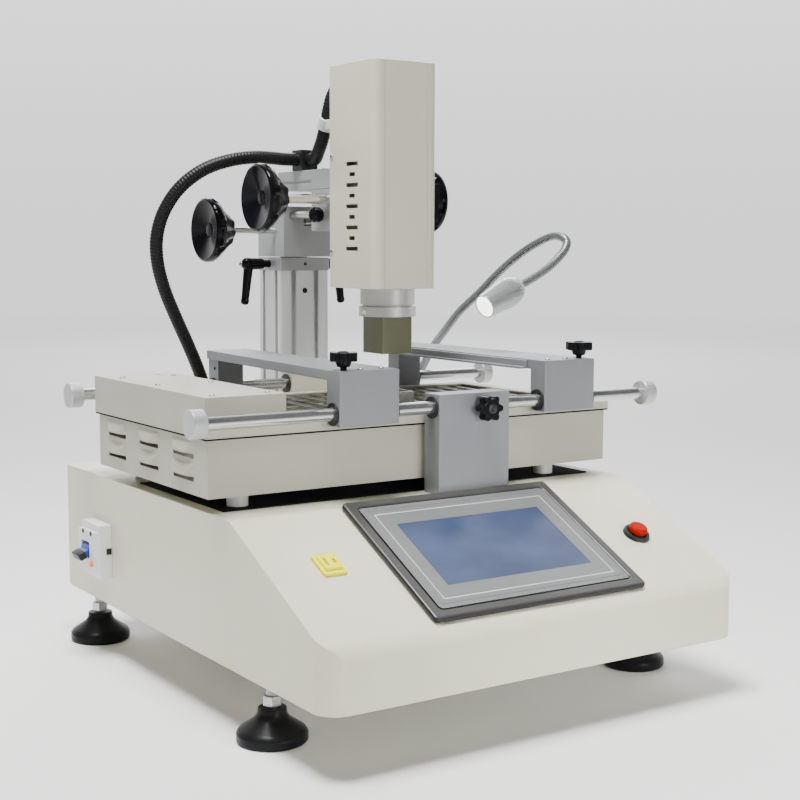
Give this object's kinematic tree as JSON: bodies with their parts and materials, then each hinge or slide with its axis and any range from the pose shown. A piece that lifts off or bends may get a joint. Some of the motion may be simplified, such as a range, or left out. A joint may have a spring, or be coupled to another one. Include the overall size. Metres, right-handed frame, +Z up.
{
  "type": "bga rework station",
  "caption": "Bench rework station: a hot air head with a square nozzle on a geared arm over an infrared preheater, sliding board clamps, a sloped touch panel and a gooseneck lamp.",
  "frame": {"origin": "on the bench under the middle of the object's box", "axes": "+Z up, front of the machine with its sloped panel towards -Y, left side towards -X"},
  "size_m": [0.514, 0.528, 0.585],
  "materials": {
    "cream_paint": "satin powder coat",
    "pale_alloy": "satin anodised",
    "column_alloy": "satin",
    "rod_chrome": "polished",
    "machined_steel": "machined",
    "nozzle_steel": "heat tinted",
    "black_gloss": "gloss",
    "black_matte": "matte",
    "red_gloss": "gloss",
    "blue_gloss": "gloss",
    "orange_gloss": "gloss",
    "yellow_plastic": "matte",
    "panel_silver": "satin foil",
    "screen_glass": "glossy dark screen",
    "tube_glass": "frosted tube",
    "cream_plastic": "matte",
    "insulation": "ceramic fibre"
  },
  "bodies": {
    "base": {"base_shell": "cream_paint", "base_plate": "cream_paint", "hmi_bezel": "black_matte", "hmi_face": "panel_silver", "hmi_screen": "screen_glass", "sensor_socket": "yellow_plastic", "button_ring": "black_matte", "breaker_body": "cream_plastic", "mains_inlet": "black_matte", "foot_stems": "machined_steel", "foot_pads": "black_gloss", "heater_standoffs": "machined_steel", "heater_tray": "cream_paint", "heater_cover": "cream_paint", "ir_tubes": "tube_glass", "heater_mesh": "machined_steel", "lower_duct": "machined_steel", "front_bracket": "pale_alloy", "rear_bracket": "cream_paint", "bracket_bushes": "black_matte", "column": "column_alloy", "column_collar": "column_alloy", "conduit_gland": "black_matte", "conduit_lower": "black_matte", "lamp_socket": "rod_chrome", "gooseneck": "rod_chrome", "lamp_head": "column_alloy"},
    "start_button": {"start_button": "red_gloss"},
    "breaker_toggle": {"breaker_toggle": "blue_gloss"},
    "breaker_test": {"breaker_test": "orange_gloss"},
    "bracket_knob": {"bracket_knob": "black_gloss"},
    "table": {"table_rods": "rod_chrome", "rod_caps": "column_alloy"},
    "left_clamp": {"left_frame": "pale_alloy", "left_jaw": "pale_alloy", "left_bushes": "black_matte"},
    "left_knob": {"left_knob": "black_gloss"},
    "right_clamp": {"right_frame": "pale_alloy", "right_jaw": "pale_alloy", "right_bushes": "black_matte"},
    "right_knob": {"right_knob": "black_gloss"},
    "left_lever": {"left_lever": "black_gloss"},
    "right_lever": {"right_lever": "black_gloss"},
    "post": {"lift_post": "machined_steel", "carriage": "pale_alloy"},
    "rear_wheel": {"rear_shaft": "machined_steel", "rear_wheel": "black_gloss"},
    "arm": {"arm_bar": "pale_alloy", "arm_block": "pale_alloy", "arm_guides": "machined_steel", "conduit_clip": "black_matte", "conduit_upper": "black_matte"},
    "arm_lock_knob": {"arm_lock_knob": "black_gloss"},
    "lift_wheels": {"lift_shaft": "machined_steel", "lift_wheels": "black_gloss"},
    "head": {"head_shell": "cream_paint", "head_back": "cream_paint", "head_heater": "insulation", "nozzle_collar": "machined_steel", "nozzle": "nozzle_steel"}
  },
  "joints": [
    {"name": "start_button_press", "type": "slide", "parent": "base", "child": "start_button", "axis": [0, -0.4421, 0.897], "range_m": [-0.003, 0], "stiffness_N_per_m": 400},
    {"name": "breaker_toggle_turn", "type": "hinge", "parent": "base", "child": "breaker_toggle", "pos_m": [-0.2415, 0.1715, 0.1085], "axis": [0, 1, 0], "range_deg": [0, 50]},
    {"name": "breaker_test_press", "type": "slide", "parent": "base", "child": "breaker_test", "axis": [1, 0, 0], "range_m": [0, 0.0015], "stiffness_N_per_m": 300},
    {"name": "bracket_knob_turn", "type": "hinge", "parent": "base", "child": "bracket_knob", "pos_m": [0.0365, -0.1065, 0.2585], "axis": [0, 1, 0], "continuous": true},
    {"name": "table_slide", "type": "slide", "parent": "base", "child": "table", "axis": [1, 0, 0], "range_m": [-0.018, 0.018]},
    {"name": "left_clamp_slide", "type": "slide", "parent": "table", "child": "left_clamp", "axis": [1, 0, 0], "range_m": [-0.07, 0.018]},
    {"name": "left_knob_turn", "type": "hinge", "parent": "left_clamp", "child": "left_knob", "pos_m": [-0.1075, -0.09, 0.3], "axis": [0, 0, 1], "continuous": true},
    {"name": "right_clamp_slide", "type": "slide", "parent": "table", "child": "right_clamp", "axis": [1, 0, 0], "range_m": [-0.018, 0.06]},
    {"name": "right_knob_turn", "type": "hinge", "parent": "right_clamp", "child": "right_knob", "pos_m": [0.1625, -0.09, 0.3], "axis": [0, 0, 1], "continuous": true},
    {"name": "left_lever_turn", "type": "hinge", "parent": "base", "child": "left_lever", "pos_m": [0.0275, 0.237, 0.387], "axis": [1, 0, 0], "range_deg": [-75, 75]},
    {"name": "right_lever_turn", "type": "hinge", "parent": "base", "child": "right_lever", "pos_m": [0.0275, 0.237, 0.387], "axis": [1, 0, 0], "range_deg": [-75, 75]},
    {"name": "post_slide", "type": "slide", "parent": "base", "child": "post", "axis": [0, 0, 1], "range_m": [0, 0.04], "deforming": ["conduit_lower"]},
    {"name": "arm_feed", "type": "slide", "parent": "post", "child": "arm", "axis": [0, 1, 0], "range_m": [-0.02, 0.025], "deforming": ["conduit_lower"]},
    {"name": "rear_wheel_turn", "type": "hinge", "parent": "post", "child": "rear_wheel", "pos_m": [0.0275, 0.2235, 0.423], "axis": [1, 0, 0], "range_deg": [-200, 160]},
    {"name": "arm_lock_knob_turn", "type": "hinge", "parent": "arm", "child": "arm_lock_knob", "pos_m": [-0.0035, 0.125, 0.4385], "axis": [1, 0, 0], "continuous": true},
    {"name": "head_lift", "type": "slide", "parent": "arm", "child": "head", "axis": [0, 0, 1], "range_m": [-0.004, 0.045], "deforming": ["conduit_upper"]},
    {"name": "lift_wheels_turn", "type": "hinge", "parent": "arm", "child": "lift_wheels", "pos_m": [0.0275, 0.11075, 0.454], "axis": [1, 0, 0], "range_deg": [-350, 35]}
  ],
  "couplings": [
    {"joint": "rear_wheel_turn", "follows": "arm_feed", "rad_per_m": -133.33},
    {"joint": "lift_wheels_turn", "follows": "head_lift", "rad_per_m": -133.33}
  ]
}
